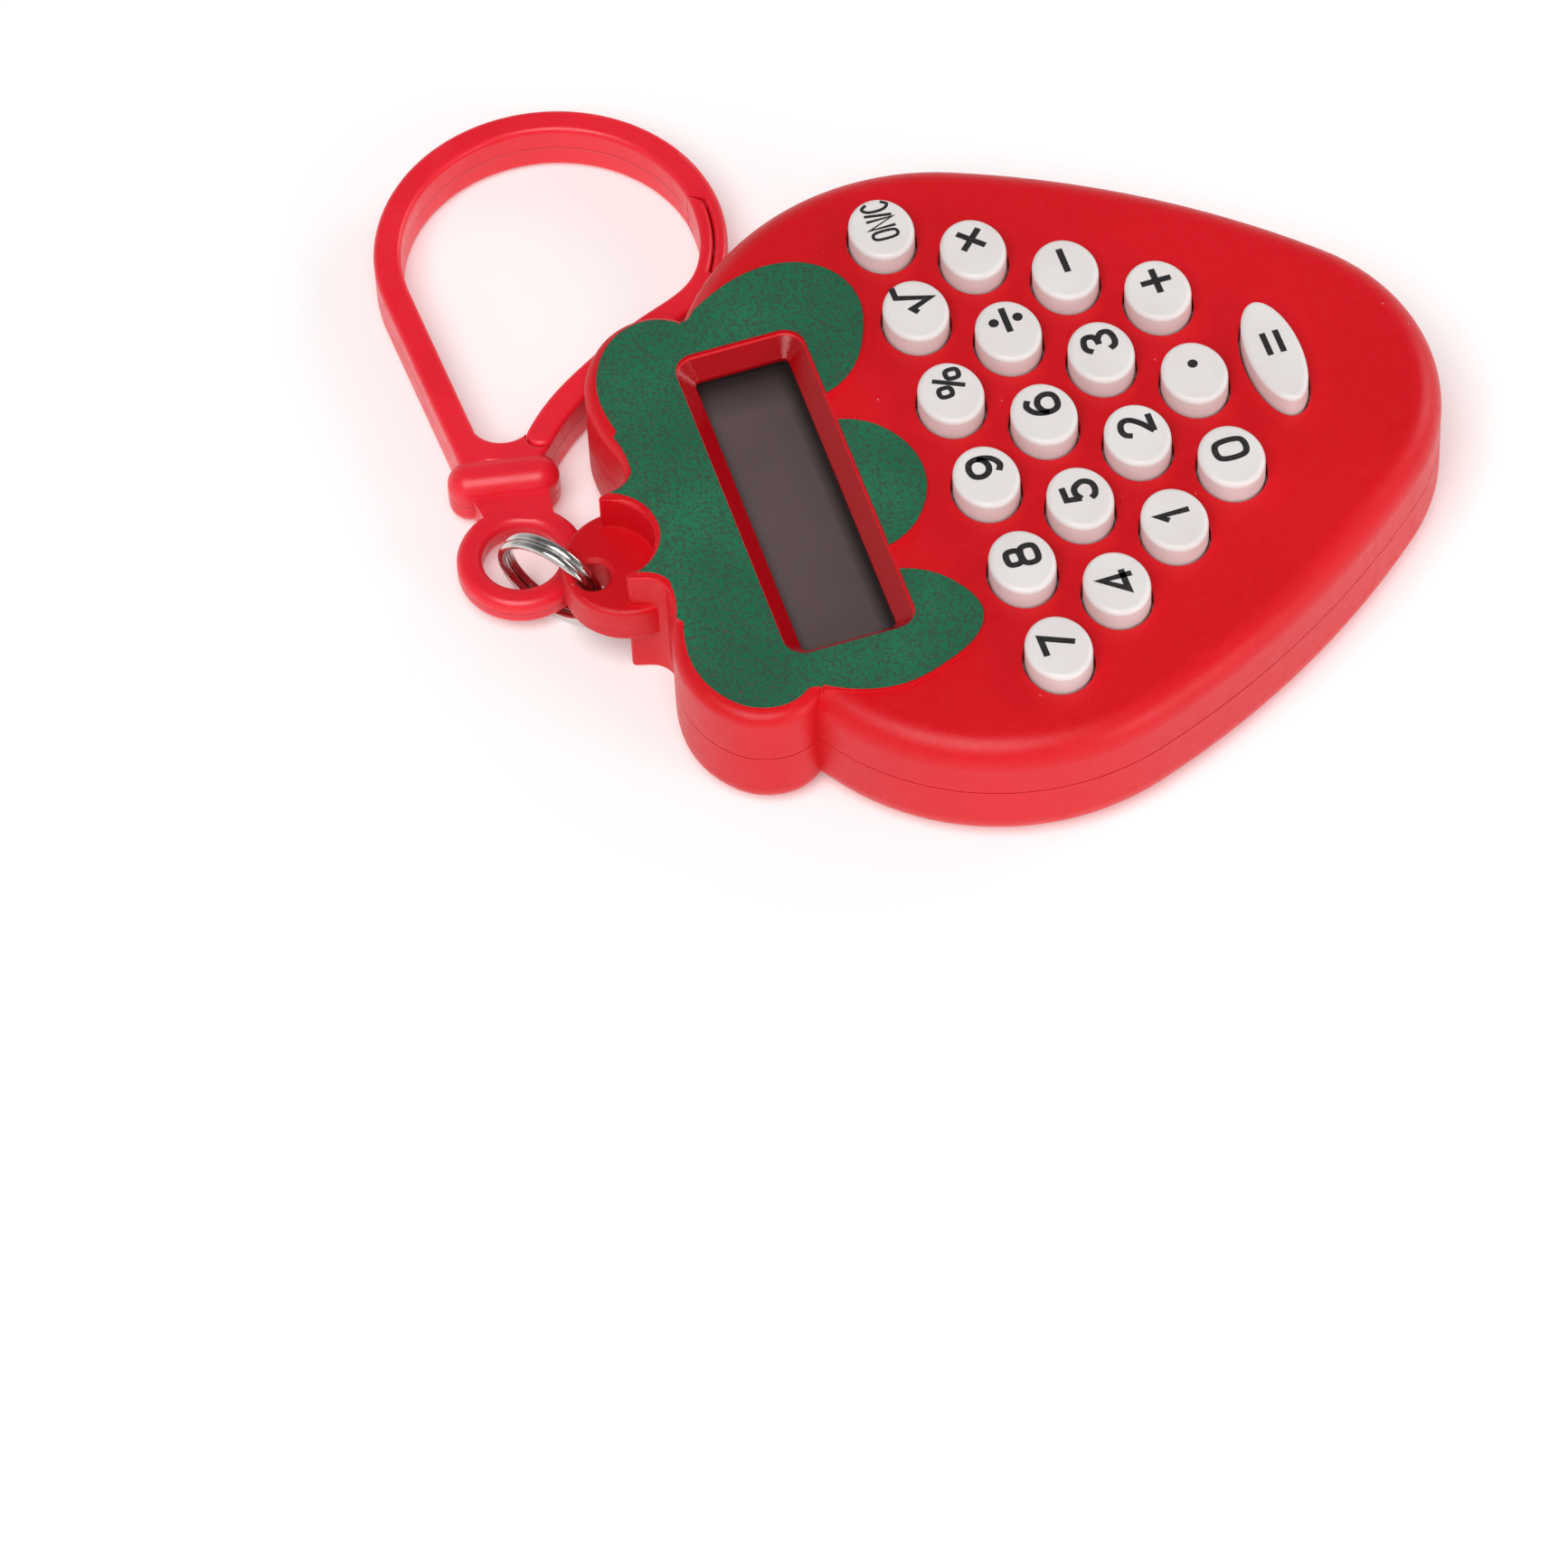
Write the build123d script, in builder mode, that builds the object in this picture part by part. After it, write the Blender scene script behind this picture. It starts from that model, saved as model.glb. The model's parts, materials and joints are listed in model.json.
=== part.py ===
"""A strawberry-shaped pocket calculator with a split ring and a snap clip on its lug.

Millimetres, +Z up out of the key face, +Y towards the lug. The origin is on the flat back face,
in the middle of the case. The back face lies on Z = 0.
"""

import os
from math import cos, radians, sin

from build123d import *

# ---- driving dimensions -------------------------------------------------------------------
case_thickness = 11.0
parting_height = 6.0
wall = 1.5
face_plate = 1.6
back_plate = 1.5
berry_face_radius = 2.2
crown_face_radius = 1.0
back_edge_radius = 2.6
crown_back_radius = 2.2
leaf_relief = 0.35
leaf_margin = 0.95
valley_margin = 0.4
valley_centre_y = 19.5
valley_radius = 14.3
parting_groove = 0.2
parting_groove_height = 0.12
foil_thickness = 0.04

# The outline leans a little against the rows of keys, so it is drawn on its own axis.
case_lean = 1.8
case_axis_x = -0.35

key_pitch = 8.5
row_pitch = 6.05
first_row_y = 5.0
key_radius_x = 2.98
key_radius_y = 2.52
key_stand = 1.8
key_edge_radius = 0.4
key_gap = 0.17
key_flange = 0.55
key_flange_thickness = 0.7
key_travel_room = 0.1
equals_radius_x = 5.0
equals_radius_y = 2.1
equals_y = -19.6

window_x = 0.3
window_y = 18.85
window_length = 30.0
window_height = 10.3
window_corner = 1.7
window_slope_inset = 1.4
window_slope_depth = 1.3

lens_thickness = 0.7
glass_length = 32.0
glass_height = 12.0
glass_low = 7.5
glass_sheet = 0.5

tower_radius = 1.9
pilot_radius = 0.9
screw_reach = 9.0
seat_radius = 1.7
seat_depth = 2.0

board_bottom = 5.4
board_thickness = 1.0
board_inset = 3.2
pad_sheet = 0.5

lug_centre_y = 32.2
lug_radius = 5.0
lug_thickness = 3.4
lug_hole_x = -0.45
lug_hole_y = 35.0
lug_hole_radius = 1.35
scoop_centre_y = 33.75
scoop_radius = 3.78
scoop_rim = 0.3
horn_rim = 0.2

battery_y = -9.5
battery_radius = 5.8
battery_height = 3.05
cell_low = 1.45
bay_x = 1.5
bay_length = 19.0
bay_width = 15.0
bay_floor = 0.8
bay_ring_height = 3.4
tongue_width = 5.0
tongue_low = 0.75
contact_width = 4.0
contact_sheet = 0.3

ring_radius = 4.2
ring_wire_radius = 0.36
ring_turn_offset = 0.34
ring_direction = 40.0
ring_lean = 5.0
ring_centre_reach = 3.5
ring_centre_height = 4.63

clip_eye_x = 7.0
clip_eye_y = 38.9
clip_direction = -21.4
clip_mid_height = 2.4
clip_eye_radius = 5.0
clip_eye_hole_radius = 3.0
clip_eye_thickness = 2.4
clip_collar_depth = 4.8
clip_band_depth = 4.4
clip_band_thickness = 2.2
clip_edge_radius = 0.5
gate_root_x = 11.0
gate_root_y = -0.7
gate_root_gap = 0.05
loop_centre = 29.5
loop_radius = 12.8
collar_turn = 10.3
arm_meets_loop = 114.6
arm_length = 18.2
lip_start = -66.0
lip_end = -98.0
gate_tip = -68.0
gate_shoulder = -101.0
lap_clearance = 0.1
lap_slant = 5.5

face_height = case_thickness
plate_underside = face_height - face_plate
board_top = board_bottom + board_thickness
key_top = face_height + key_stand
key_bottom = plate_underside - key_travel_room - key_flange_thickness
ledge_height = plate_underside - lens_thickness - 0.05 - glass_sheet
lug_low = parting_height - lug_thickness / 2
lug_high = parting_height + lug_thickness / 2

# Screw towers: two in the shoulders, two in the flanks, one at the tip.
screw_places = [(-14.2, 27.0), (14.8, 27.0), (-17.6, -14.4), (16.8, -14.4), (-1.2, -26.8)]
post_places = [(-12.0, 10.5), (12.0, 10.5), (-11.5, -16.0), (0.0, -22.5)]
cover_screw_place = (8.9, battery_y)

key_rows = [
    ["key_7", "key_8", "key_9", "key_percent", "key_root", "key_on_clear"],
    ["key_4", "key_5", "key_6", "key_divide", "key_multiply"],
    ["key_1", "key_2", "key_3", "key_minus"],
    ["key_0", "key_point", "key_plus"],
]


def key_table():
    """Name, centre and radii of every key; each row is centred, so rows stagger by half a pitch."""
    keys = []
    for row, names in enumerate(key_rows):
        for column, name in enumerate(names):
            x = (column - (len(names) - 1) / 2) * key_pitch
            keys.append((name, x, first_row_y - row * row_pitch, key_radius_x, key_radius_y))
    keys.append(("key_equals", 0, equals_y, equals_radius_x, equals_radius_y))
    return keys


keys = key_table()


def case_plane(height):
    """The plane on which the case outline is drawn, leaning against the rows of keys."""
    lean = radians(case_lean)
    return Plane(origin=(case_axis_x, 0, height), x_dir=(cos(lean), -sin(lean), 0), z_dir=(0, 0, 1))


def arc_chain_face(start_y, arcs):
    """A face symmetric about Y. Arcs of (radius, turn in degrees) run clockwise up its left side,
    a negative turn is a hollow, and the last arc or line closes on the axis."""
    with BuildSketch() as face:
        with BuildLine():
            spot, heading, to_turn = Vector(0, start_y), Vector(-1, 0), 180
            for radius, turn in arcs:
                arc = JernArc(spot, heading, radius, -turn)
                spot, heading, to_turn = arc @ 1, arc % 1, to_turn - turn
            if to_turn:
                JernArc(spot, heading, -spot.X / sin(radians(to_turn)), -to_turn)
            else:
                Line(spot, (0, spot.Y))
            mirror(about=Plane.YZ)
        make_face()
    return face.sketch_local


def berry_face():
    """The fruit: a round tip, full flanks, and a crown end that is hidden under the leaf shoulders."""
    return arc_chain_face(-31.9, [(16.0, 46), (75.0, 23), (20.0, 74)])


def crown_face():
    """The leaf shoulders: two round lobes with a shallow saddle between them."""
    return arc_chain_face(17.5, [(41.5, 25), (4.4, 65), (5.5, 45), (8.2, 45), (12.0, 20), (6.0, -20)])


def horn_face():
    """One of the two points beside the lug: hollow outside, blunt at its tip."""
    with BuildSketch() as face:
        with BuildLine():
            hollow = JernArc((-6.4, 30.4), (1, 0), 2.0, 75)
            side = Line(hollow @ 1, hollow @ 1 + 1.1 * (hollow % 1))
            tip = JernArc(side @ 1, side % 1, 0.32, -150)
            flank = Line(tip @ 1, tip @ 1 + 1.2 * (tip % 1))
            Polyline(flank @ 1, (-1.6, 30.6), (-1.6, 29.0), (-6.4, 29.0), hollow @ 0)
        make_face()
    return face.sketch_local


def inset_face(face, amount):
    """The same face with its edge moved in."""
    with BuildSketch() as smaller:
        add(face)
        offset(amount=-amount)
    return smaller.sketch_local


def case_face():
    """Fruit and shoulders together."""
    with BuildSketch() as face:
        add(berry_face())
        add(crown_face())
    return face.sketch_local


def valley_face():
    """The saddle and both horns inside a narrow margin."""
    with BuildSketch() as outline:
        add(case_face())
        add(horn_face())
        mirror(about=Plane.YZ)
        offset(amount=-valley_margin)
        with Locations((0, valley_centre_y)):
            Circle(valley_radius, mode=Mode.INTERSECT)
    return outline.sketch_local


def leaf_limits():
    """How far the leaf may reach: its red margin is narrow in the saddle and wide round the shoulders."""
    with BuildSketch() as limits:
        add(inset_face(case_face(), leaf_margin))
        add(valley_face())
    return limits.sketch_local


def leaf_face():
    """The raised leaf: it fills the shoulders up to a margin, with three lobes that hang below the window."""
    with BuildSketch() as face:
        with BuildLine():
            left_lobe = Spline((-9.4, 14.6), (-10.4, 11.3), (-12.65, 9.2), (-14.9, 8.45), (-16.9, 9.3),
                               (-18.75, 12.1), (-19.85, 15.7), (-19.5, 19.0), (-18.2, 21.8))
            right_lobe = Spline((18.0, 22.9), (20.0, 19.95), (21.45, 16.2), (21.1, 12.3), (19.1, 9.9),
                                (16.1, 9.0), (13.1, 9.6), (10.0, 11.3), (8.1, 14.6))
            Polyline(left_lobe @ 1, (-21.0, 24.0), (-21.0, 34.0), (21.0, 34.0), (21.0, 24.0), right_lobe @ 0)
            Line(right_lobe @ 1, left_lobe @ 0)
        make_face()
        with BuildLine():
            middle = Spline((-7.3, 14.6), (-5.9, 11.2), (-0.8, 8.9), (4.2, 11.2), (5.6, 14.6))
            Line(middle @ 1, middle @ 0)
        make_face()
        add(leaf_limits(), mode=Mode.INTERSECT)
        with Locations((0, scoop_centre_y)):
            Circle(scoop_radius + valley_margin, mode=Mode.SUBTRACT)
    return face.sketch_local


def shell_half(low, high, end, berry_radius, crown_radius, cavity_low, cavity_high):
    """Half of the case: fruit and shoulders, rounded at one end (-1 top, 0 bottom), then hollowed."""
    with BuildPart() as berry:
        with BuildSketch(case_plane(low)):
            add(berry_face())
        extrude(amount=high - low)
        fillet(berry.faces().sort_by(Axis.Z)[end].edges(), berry_radius)
    with BuildPart() as half:
        with BuildSketch(case_plane(low)):
            add(crown_face())
        extrude(amount=high - low)
        fillet(half.faces().sort_by(Axis.Z)[end].edges(), crown_radius)
        add(berry.part)
        with BuildSketch(case_plane(cavity_low)):
            add(inset_face(berry_face(), wall))
            add(inset_face(crown_face(), wall))
        extrude(amount=cavity_high - cavity_low, mode=Mode.SUBTRACT)
    return half.part


def horn(low, high, end):
    """One horn over the height of a half, its rim softened."""
    with BuildPart() as block:
        with BuildSketch(case_plane(low)):
            add(horn_face())
        extrude(amount=high - low)
        fillet(block.faces().sort_by(Axis.Z)[end].edges().filter_by(GeomType.CIRCLE), horn_rim)
    return block.part


def lug_disc(low, high, end):
    """Half of the lug, a disc that reaches back into the case."""
    with BuildPart() as disc:
        with BuildSketch(case_plane(low)):
            with Locations((0, lug_centre_y)):
                Circle(lug_radius)
        extrude(amount=high - low)
        fillet(disc.faces().sort_by(Axis.Z)[end].edges(), 0.4)
    return disc.part


def scoop_wall():
    """Plan of the wall that follows the round bite between the horns."""
    with BuildSketch() as band:
        with Locations((0, scoop_centre_y)):
            Circle(scoop_radius + wall)
        add(crown_face(), mode=Mode.INTERSECT)
    return band.sketch_local


def case_half(low, high, end, berry_radius, crown_radius, cavity_low, cavity_high, lug_from, lug_to):
    """A hollow half of the case with its horns, its half of the lug and the bite between the horns."""
    bite_from, bite_to = (lug_to, high + 1) if end else (low - 1, lug_from)
    with BuildPart() as half:
        add(shell_half(low, high, end, berry_radius, crown_radius, cavity_low, cavity_high))
        left_horn = horn(low, high, end)
        add(left_horn)
        add(left_horn.mirror(Plane(origin=(case_axis_x, 0, 0), z_dir=case_plane(0).x_dir)))
        with BuildSketch(case_plane(low)):
            add(scoop_wall())
        extrude(amount=high - low - 0.5)
        with BuildSketch(case_plane(bite_from)):
            with Locations((0, scoop_centre_y)):
                Circle(scoop_radius)
        extrude(amount=bite_to - bite_from, mode=Mode.SUBTRACT)
        outer_height = low if end == 0 else high
        rim = half.edges().filter_by(GeomType.CIRCLE).filter_by(
            lambda edge: abs(edge.radius - scoop_radius) < 0.01 and abs(edge.center().Z - outer_height) < 0.01)
        fillet(rim, scoop_rim)
        add(lug_disc(lug_from, lug_to, end))
        with BuildSketch(case_plane(low)):
            with Locations((lug_hole_x, lug_hole_y)):
                Circle(lug_hole_radius)
        extrude(amount=high - low, mode=Mode.SUBTRACT)
        outer_face = lug_to if end else lug_from
        mouth = half.edges().filter_by(GeomType.CIRCLE).filter_by(
            lambda edge: abs(edge.radius - lug_hole_radius) < 0.01 and abs(edge.center().Z - outer_face) < 0.01)
        chamfer(mouth, 0.3)
    return half.part


def window_face(inset):
    """The display window in plan, with round corners."""
    with BuildSketch() as opening:
        with Locations((window_x, window_y)):
            RectangleRounded(window_length - 2 * inset, window_height - 2 * inset,
                             max(window_corner - inset, 0.5))
    return opening.sketch_local


def round_spots(places, radius):
    """Equal circles at several places."""
    with BuildSketch() as spots:
        with Locations(*places):
            Circle(radius)
    return spots.sketch_local


def key_spots(margin):
    """The plan of every key, grown by a margin."""
    with BuildSketch() as spots:
        for name, x, y, radius_x, radius_y in keys:
            with Locations((x, y)):
                Ellipse(radius_x + margin, radius_y + margin)
    return spots.sketch_local


def groove_face():
    """Plan of the fine groove that runs along the parting."""
    with BuildSketch() as band:
        add(case_face())
        add(inset_face(case_face(), parting_groove), mode=Mode.SUBTRACT)
    return band.sketch_local


def make_front_cover():
    with BuildPart() as cover:
        add(case_half(parting_height, face_height, -1, berry_face_radius, crown_face_radius,
                      parting_height, plate_underside, parting_height, lug_high))
        with BuildSketch(case_plane(parting_height)):
            add(groove_face())
        extrude(amount=parting_groove_height, mode=Mode.SUBTRACT)
        with BuildSketch(case_plane(face_height - 0.2)):
            add(leaf_face())
        extrude(amount=leaf_relief + 0.2)
        # screw towers with their pilot holes
        with BuildSketch(Plane.XY.offset(parting_height)):
            add(round_spots(screw_places, tower_radius))
        extrude(amount=plate_underside - parting_height + 0.2)
        with BuildSketch(Plane.XY.offset(parting_height)):
            add(round_spots(screw_places, pilot_radius))
        extrude(amount=screw_reach - parting_height + 0.3, mode=Mode.SUBTRACT)
        # frame of ribs around the display glass
        with BuildSketch(Plane.XY.offset(glass_low)):
            with Locations((window_x, window_y)):
                Rectangle(glass_length + 2.4, glass_height + 2.0)
                Rectangle(glass_length + 0.4, glass_height + 0.4, mode=Mode.SUBTRACT)
        extrude(amount=plate_underside - glass_low + 0.1)
        # sloped window recess and its opening
        with BuildSketch(Plane.XY.offset(face_height + leaf_relief)):
            add(window_face(0))
        extrude(amount=-leaf_relief, mode=Mode.SUBTRACT)
        with BuildSketch(Plane.XY.offset(face_height)):
            add(window_face(0))
        with BuildSketch(Plane.XY.offset(face_height - window_slope_depth)):
            add(window_face(window_slope_inset))
        loft(mode=Mode.SUBTRACT)
        with BuildSketch(Plane.XY.offset(face_height - window_slope_depth)):
            add(window_face(window_slope_inset))
        extrude(amount=window_slope_depth - face_plate - 0.2, mode=Mode.SUBTRACT)
        # key holes with softened mouths
        with BuildSketch(Plane.XY.offset(plate_underside - 0.1)):
            add(key_spots(key_gap))
        extrude(amount=face_plate + 0.2, mode=Mode.SUBTRACT)
        mouths = cover.edges().filter_by(
            lambda edge: edge.is_closed and abs(edge.center().Z - face_height) < 0.01)
        fillet(mouths, 0.15)
    return cover.part


def make_back_cover():
    with BuildPart() as cover:
        add(case_half(0, parting_height, 0, back_edge_radius, crown_back_radius,
                      back_plate, parting_height, lug_low, parting_height))
        # screw towers, each with a sunk seat for the head
        with BuildSketch(Plane.XY.offset(back_plate)):
            add(round_spots(screw_places, tower_radius))
        extrude(amount=parting_height - back_plate)
        with BuildSketch(Plane.XY.offset(back_plate)):
            add(round_spots(screw_places, seat_radius + 0.9))
        extrude(amount=seat_depth - back_plate + 1.0)
        with BuildSketch():
            add(round_spots(screw_places, seat_radius))
        extrude(amount=seat_depth, mode=Mode.SUBTRACT)
        with BuildSketch():
            add(round_spots(screw_places, pilot_radius + 0.1))
        extrude(amount=parting_height, mode=Mode.SUBTRACT)
        # posts that carry the circuit board
        with BuildSketch(Plane.XY.offset(back_plate)):
            add(round_spots(post_places, 1.2))
        extrude(amount=board_bottom - back_plate)
        # battery bay: a floor with a round hole, a ring around the cell, a tower for the cover's screw
        with BuildSketch(Plane.XY.offset(back_plate)):
            with Locations((bay_x, battery_y)):
                Rectangle(bay_length + 3, bay_width + 3)
        extrude(amount=bay_floor)
        with BuildSketch(Plane.XY.offset(back_plate)):
            add(round_spots([(0, battery_y)], battery_radius + 1.1))
        extrude(amount=bay_ring_height)
        with BuildSketch(Plane.XY.offset(back_plate)):
            add(round_spots([cover_screw_place], 1.7))
        extrude(amount=board_bottom - back_plate - 0.3)
        with BuildSketch():
            add(round_spots([(0, battery_y)], battery_radius + 0.25))
        extrude(amount=parting_height, mode=Mode.SUBTRACT)
        with BuildSketch():
            with Locations((bay_x, battery_y)):
                RectangleRounded(bay_length, bay_width, 2.0)
        extrude(amount=back_plate, mode=Mode.SUBTRACT)
        with BuildSketch():
            add(round_spots([cover_screw_place], pilot_radius))
        extrude(amount=board_bottom - 0.9, mode=Mode.SUBTRACT)
        # slots for the cover's tongue and for the two contacts
        with BuildSketch(Plane.XY.offset(tongue_low - 0.1)):
            with Locations((bay_x - bay_length / 2, battery_y)):
                Rectangle(3.2, tongue_width + 0.4)
        extrude(amount=back_plate - tongue_low + 0.1, mode=Mode.SUBTRACT)
        with BuildSketch(Plane.XY.offset(back_plate + bay_floor)):
            with Locations((0, battery_y + battery_radius)):
                Rectangle(contact_width + 0.6, 6)
            with Locations((0, battery_y - battery_radius)):
                Rectangle(contact_width + 0.6, 6)
        extrude(amount=bay_ring_height, mode=Mode.SUBTRACT)
    return cover.part


def make_leaf_foil():
    """The green foil stamped on the raised leaf."""
    with BuildPart() as foil:
        with BuildSketch(case_plane(face_height + leaf_relief)):
            add(leaf_face())
        extrude(amount=foil_thickness)
        with BuildSketch(Plane.XY.offset(face_height)):
            add(window_face(-0.02))
        extrude(amount=leaf_relief + foil_thickness + 0.1, mode=Mode.SUBTRACT)
    return foil.part


def make_display_window():
    """Clear plate behind the recess."""
    with BuildPart() as window:
        with BuildSketch(Plane.XY.offset(plate_underside - lens_thickness)):
            with Locations((window_x, window_y)):
                RectangleRounded(glass_length - 0.4, glass_height - 0.6, 0.5)
        extrude(amount=lens_thickness)
    return window.part


def make_lcd_panel():
    """Two glass plates; the front one stands out below as the ledge that the elastomer presses on."""
    with BuildPart() as panel:
        with BuildSketch(Plane.XY.offset(ledge_height)):
            with Locations((window_x, window_y)):
                Rectangle(glass_length, glass_height)
        extrude(amount=glass_sheet)
        with BuildSketch(Plane.XY.offset(ledge_height - glass_sheet)):
            with Locations((window_x, window_y + 1.2)):
                Rectangle(glass_length, glass_height - 2.4)
        extrude(amount=glass_sheet)
    return panel.part


def make_zebra_connector():
    """Elastomer strip between the board and the glass ledge."""
    with BuildPart() as strip:
        with BuildSketch(Plane.XY.offset(board_top)):
            with Locations((window_x, window_y - glass_height / 2 + 1.1)):
                Rectangle(glass_length - 4, 1.8)
        extrude(amount=ledge_height - board_top)
    return strip.part


def make_circuit_board():
    with BuildPart() as board:
        with BuildSketch(case_plane(board_bottom)):
            add(inset_face(case_face(), board_inset))
        extrude(amount=board_thickness)
        with BuildSketch(Plane.XY.offset(board_bottom)):
            add(round_spots(screw_places, tower_radius + 0.4))
        extrude(amount=board_thickness, mode=Mode.SUBTRACT)
        with BuildSketch(case_plane(board_bottom)):
            add(round_spots([(0, scoop_centre_y)], scoop_radius + wall + 0.4))
        extrude(amount=board_thickness, mode=Mode.SUBTRACT)
    return board.part


def make_chip_blob():
    """The chip under its drop of black resin, on the board's lower side."""
    with BuildPart() as blob:
        with BuildSketch(Plane.XY.offset(board_bottom - 1.1)):
            with Locations((7.0, 15.0)):
                Ellipse(4.6, 4.0)
        extrude(amount=1.1)
        fillet(blob.faces().sort_by(Axis.Z)[0].edges(), 0.9)
    return blob.part


def make_button_cell():
    """Can and cap of the cell, the cap side up."""
    with BuildPart() as cell:
        with BuildSketch(Plane.XY.offset(cell_low)):
            add(round_spots([(0, battery_y)], battery_radius))
        extrude(amount=battery_height - 0.35)
        fillet(cell.faces().sort_by(Axis.Z)[0].edges(), 0.4)
        with BuildSketch(Plane.XY.offset(cell_low + battery_height - 0.35)):
            add(round_spots([(0, battery_y)], battery_radius - 0.9))
        extrude(amount=0.35)
    return cell.part


def make_contact(side, cell_side):
    """A bent strip soldered under the board; it touches the cell's wall or its cap."""
    top = board_bottom
    edge_y = battery_y + side * (battery_radius + 0.05)
    if cell_side:
        profile = [(edge_y + side * 3.0, top), (edge_y, top), (edge_y, cell_low + 0.9),
                   (edge_y + side * contact_sheet, cell_low + 0.9),
                   (edge_y + side * contact_sheet, top - contact_sheet), (edge_y + side * 3.0, top - contact_sheet)]
    else:
        cap = cell_low + battery_height
        inner_y = battery_y + side * 1.5
        profile = [(edge_y + side * 2.4, top), (edge_y, top), (inner_y, cap + contact_sheet), (inner_y, cap),
                   (edge_y - side * 1.2, top - contact_sheet - 0.15), (edge_y + side * 2.4, top - contact_sheet)]
    with BuildPart() as strip:
        with BuildSketch(Plane.YZ.offset(-contact_width / 2)):
            with BuildLine():
                Polyline(*profile, close=True)
            make_face()
        extrude(amount=contact_width)
    return strip.part


def make_rubber_keypad():
    """A rubber sheet with a hollow dome under every key."""
    with BuildPart() as pad:
        with BuildSketch(Plane.XY.offset(board_top)) as sheet:
            with BuildLine():
                Polyline((0, 8.6), (25.4, 8.6), (25.4, 2.4), (7.2, -23.0), (0, -23.0))
                mirror(about=Plane.YZ)
            make_face()
            fillet(sheet.vertices().filter_by(lambda corner: abs(corner.X) > 1), 2.0)
        extrude(amount=pad_sheet)
        with BuildSketch(Plane.XY.offset(board_top + pad_sheet)):
            add(key_spots(-0.3))
        extrude(amount=0.8)
        with BuildSketch(Plane.XY.offset(board_top + pad_sheet + 0.8)):
            add(key_spots(-1.0))
        extrude(amount=key_bottom - board_top - pad_sheet - 0.8)
        with BuildSketch(Plane.XY.offset(board_top)):
            add(key_spots(-0.75))
        extrude(amount=0.85, mode=Mode.SUBTRACT)
    return pad.part


def make_battery_cover():
    """A flush plate with a tongue at one end and a screw at the other."""
    with BuildPart() as plate:
        with BuildSketch():
            with Locations((bay_x, battery_y)):
                RectangleRounded(bay_length - 0.3, bay_width - 0.3, 1.9)
        extrude(amount=cell_low - 0.05)
        with BuildSketch(Plane.XY.offset(tongue_low)):
            with Locations((bay_x - bay_length / 2 + 0.1, battery_y)):
                Rectangle(2.6, tongue_width)
        extrude(amount=0.6)
        # finger grooves on the outside
        with BuildSketch():
            with Locations((bay_x + bay_length / 2 - 7.6, battery_y)):
                with GridLocations(1.4, 0, 4, 1):
                    SlotOverall(6.5, 0.6, rotation=90)
        extrude(amount=0.3, mode=Mode.SUBTRACT)
        with BuildSketch():
            add(round_spots([cover_screw_place], 1.5))
        extrude(amount=0.7, mode=Mode.SUBTRACT)
        with BuildSketch():
            add(round_spots([cover_screw_place], pilot_radius + 0.05))
        extrude(amount=cell_low, mode=Mode.SUBTRACT)
    return plate.part


def make_screws(places, head_low, head_height, head_radius, tip):
    """Pan-head screws with cross slots, heads down."""
    with BuildPart() as screws:
        with BuildSketch(Plane.XY.offset(head_low)):
            add(round_spots(places, head_radius))
        extrude(amount=head_height)
        fillet(screws.faces().sort_by(Axis.Z)[:len(places)].edges(), 0.25)
        with BuildSketch(Plane.XY.offset(head_low + head_height)):
            add(round_spots(places, pilot_radius - 0.05))
        extrude(amount=tip - head_low - head_height)
        with BuildSketch(Plane.XY.offset(head_low)):
            with Locations(*places):
                Rectangle(head_radius * 1.2, 0.35)
                Rectangle(0.35, head_radius * 1.2)
        extrude(amount=0.5, mode=Mode.SUBTRACT)
    return screws.part


def make_key(x, y, radius_x, radius_y):
    """A cap with a flange that holds it under the face plate."""
    with BuildPart() as cap:
        with BuildSketch(Plane.XY.offset(key_bottom)):
            with Locations((x, y)):
                Ellipse(radius_x, radius_y)
        extrude(amount=key_top - key_bottom)
        fillet(cap.faces().sort_by(Axis.Z)[-1].edges(), key_edge_radius)
        with BuildSketch(Plane.XY.offset(key_bottom)):
            with Locations((x, y)):
                Ellipse(radius_x + key_flange, radius_y + key_flange)
        extrude(amount=key_flange_thickness)
    return cap.part


def make_split_ring():
    """Two turns of wire side by side, through the lug hole and the clip's eye."""
    with BuildPart() as ring:
        with BuildSketch(ring_section_plane()):
            with Locations((ring_radius, ring_turn_offset), (ring_radius, -ring_turn_offset)):
                Circle(ring_wire_radius)
        revolve(axis=ring_axis())
    return ring.part


def ring_frame():
    """Centre, outward direction, upward direction and axis of the split ring."""
    turn, lean = radians(ring_direction), radians(ring_lean)
    outward = Vector(cos(turn), sin(turn), 0)
    across = Vector(-sin(turn), cos(turn), 0)
    upward = Vector(0, 0, 1) * cos(lean) + across * sin(lean)
    hole = case_plane(0).from_local_coords(Vector(lug_hole_x, lug_hole_y, 0))
    centre = hole + outward * ring_centre_reach + Vector(0, 0, ring_centre_height)
    return centre, outward, upward


def ring_axis():
    centre, outward, upward = ring_frame()
    return Axis(centre, outward.cross(upward))


def ring_section_plane():
    """Radial plane of the ring: its x is outward, its y along the ring's axis."""
    centre, outward, upward = ring_frame()
    return Plane(origin=centre, x_dir=outward, z_dir=-upward)


def clip_plane(height):
    """The clip's own plane: origin at the eye, x towards the far end of the loop."""
    turn = radians(clip_direction)
    return Plane(origin=(clip_eye_x, clip_eye_y, height), x_dir=(cos(turn), sin(turn), 0), z_dir=(0, 0, 1))


def on_loop(radius, angle):
    """A point on a circle about the loop's centre."""
    return (loop_centre + radius * cos(radians(angle)), radius * sin(radians(angle)))


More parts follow.
